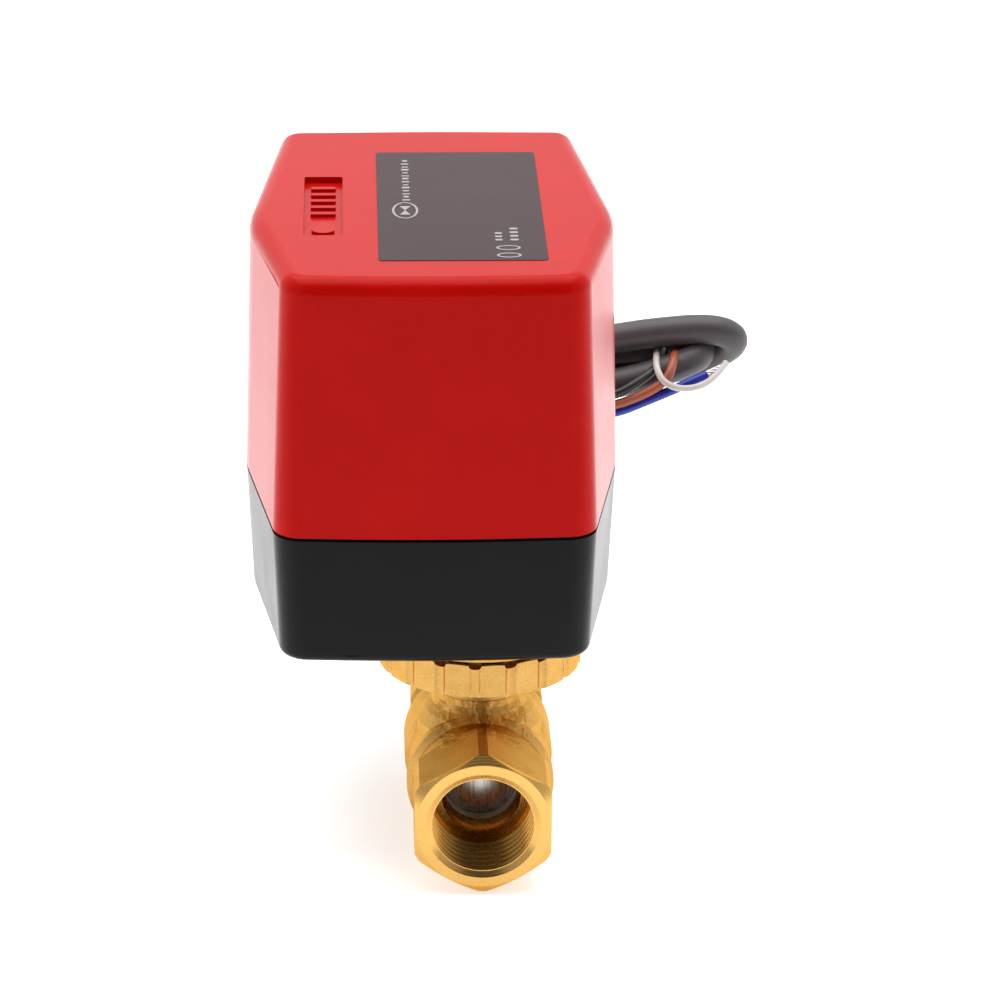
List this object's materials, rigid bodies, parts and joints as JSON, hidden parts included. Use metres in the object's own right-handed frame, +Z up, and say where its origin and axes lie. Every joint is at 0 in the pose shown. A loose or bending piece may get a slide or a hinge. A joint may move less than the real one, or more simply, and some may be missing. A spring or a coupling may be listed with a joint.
{
  "type": "motorised valve actuator",
  "caption": "Electric quarter-turn actuator in a red and black housing on a brass ball valve with threaded ports, with a hanked supply cable.",
  "frame": {"origin": "centre of the front port mouth, on its end face", "axes": "+Y into the valve along the pipe, +Z up the stem, +X to the right seen from the front port"},
  "size_m": [0.1032, 0.1399, 0.1174],
  "materials": {
    "chromed_brass": "polished chrome plate",
    "black_plastic": "moulded plastic, satin",
    "black_insulation": "PVC wire",
    "blue_insulation": "PVC wire",
    "lead_insulation": "PVC wire",
    "zinc_steel": "zinc-plated steel",
    "seal_rubber": "nitrile rubber",
    "brown_insulation": "PVC wire",
    "black_sheath": "PVC sheath, satin",
    "tie_skin": "clear plastic film",
    "board_laminate": "glass-epoxy laminate",
    "cam_plastic": "acetal",
    "plunger_red": "acetal",
    "switch_case": "phenolic",
    "spring_steel": "phosphated spring steel",
    "red_plastic": "moulded plastic, fine gloss",
    "brass": "bead-blasted and machined brass",
    "ptfe": "PTFE",
    "stainless_steel": "turned stainless steel",
    "sintered_steel": "sintered gear steel",
    "motor_steel": "plated steel can",
    "capacitor_yellow": "polyester case",
    "coil_copper": "enamelled copper winding",
    "gear_nylon": "nylon",
    "tinned_copper": "tinned copper",
    "terminal_green": "polyamide",
    "label_film": "printed film"
  },
  "bodies": {
    "housing": {"base": "black_plastic", "black_wire": "black_insulation", "blue_wire": "blue_insulation", "board_leads": "lead_insulation", "board_posts": "zinc_steel", "board_screws": "zinc_steel", "body_seal": "seal_rubber", "brown_wire": "brown_insulation", "cable_gland": "black_plastic", "cable_hank": "black_sheath", "cable_lead": "black_sheath", "cable_tie": "tie_skin", "circuit_board": "board_laminate", "closed_switch": "switch_case", "collar_ring": "spring_steel", "cover": "red_plastic", "cover_screws": "zinc_steel", "end_connector": "brass", "frame_posts": "zinc_steel", "front_seat": "ptfe", "gland_nut": "black_plastic", "housing_gasket": "seal_rubber", "idler_axle": "stainless_steel", "inner_leads": "lead_insulation", "lower_gear_plate": "zinc_steel", "motor_can": "motor_steel", "motor_capacitor": "capacitor_yellow", "motor_coil": "coil_copper", "motor_end_plate": "zinc_steel", "motor_screws": "zinc_steel", "mounting_collar": "brass", "neck_snap_ring": "spring_steel", "open_switch": "switch_case", "rear_seat": "ptfe", "shaft_bush": "brass", "stem_washer": "ptfe", "switch_bracket": "gear_nylon", "switch_screws": "zinc_steel", "switch_terminals": "tinned_copper", "terminal_block": "terminal_green", "terminal_screws": "zinc_steel", "type_label": "label_film", "upper_gear_plate": "zinc_steel", "valve_body": "brass", "wire_tips": "tinned_copper"},
    "drive": {"ball": "chromed_brass", "stem": "stainless_steel", "stem_o_rings": "seal_rubber", "output_shaft": "stainless_steel", "shaft_o_ring": "seal_rubber", "output_gear": "sintered_steel", "closed_cam": "cam_plastic", "open_cam": "cam_plastic"},
    "idler": {"idler_gear": "sintered_steel"},
    "motor_rotor": {"motor_pinion": "sintered_steel", "motor_shaft": "stainless_steel"},
    "closed_button": {"closed_plunger": "plunger_red"},
    "open_button": {"open_plunger": "plunger_red"},
    "nut_slide": {"nut_washer": "ptfe"},
    "nut": {"union_nut": "brass"}
  },
  "joints": [
    {"name": "output_turn", "type": "hinge", "parent": "housing", "child": "drive", "pos_m": [0, 0.027, 0], "axis": [0, 0, 1], "range_deg": [0, 90]},
    {"name": "idler_spin", "type": "hinge", "parent": "housing", "child": "idler", "pos_m": [-0.006, 0.04858, 0], "axis": [0, 0, 1], "range_deg": [-225, 0]},
    {"name": "motor_spin", "type": "hinge", "parent": "housing", "child": "motor_rotor", "pos_m": [-0.017, 0.06809, 0], "axis": [0, 0, 1], "range_deg": [0, 562.5]},
    {"name": "closed_plunger_press", "type": "slide", "parent": "housing", "child": "closed_button", "axis": [1, 0, 0], "range_m": [0, 0.0012]},
    {"name": "open_plunger_press", "type": "slide", "parent": "housing", "child": "open_button", "axis": [1, 0, 0], "range_m": [-0.0012, 0]},
    {"name": "union_nut_turn", "type": "hinge", "parent": "nut_slide", "child": "nut", "pos_m": [0, 0.027, 0], "axis": [0, 0, 1], "range_deg": [-1440, 0]},
    {"name": "nut_washer_drop", "type": "slide", "parent": "housing", "child": "nut_slide", "axis": [0, 0, 1], "range_m": [-0.006, 0]}
  ],
  "couplings": [
    {"joint": "idler_spin", "follows": "output_turn", "ratio": -2.5},
    {"joint": "motor_spin", "follows": "output_turn", "ratio": 6.25},
    {"joint": "closed_plunger_press", "follows": "output_turn", "m_per_rad": 0.00076394},
    {"joint": "open_plunger_press", "follows": "output_turn", "m_per_rad": -0.00076394},
    {"joint": "nut_washer_drop", "follows": "union_nut_turn", "m_per_rad": 0.00023873}
  ]
}
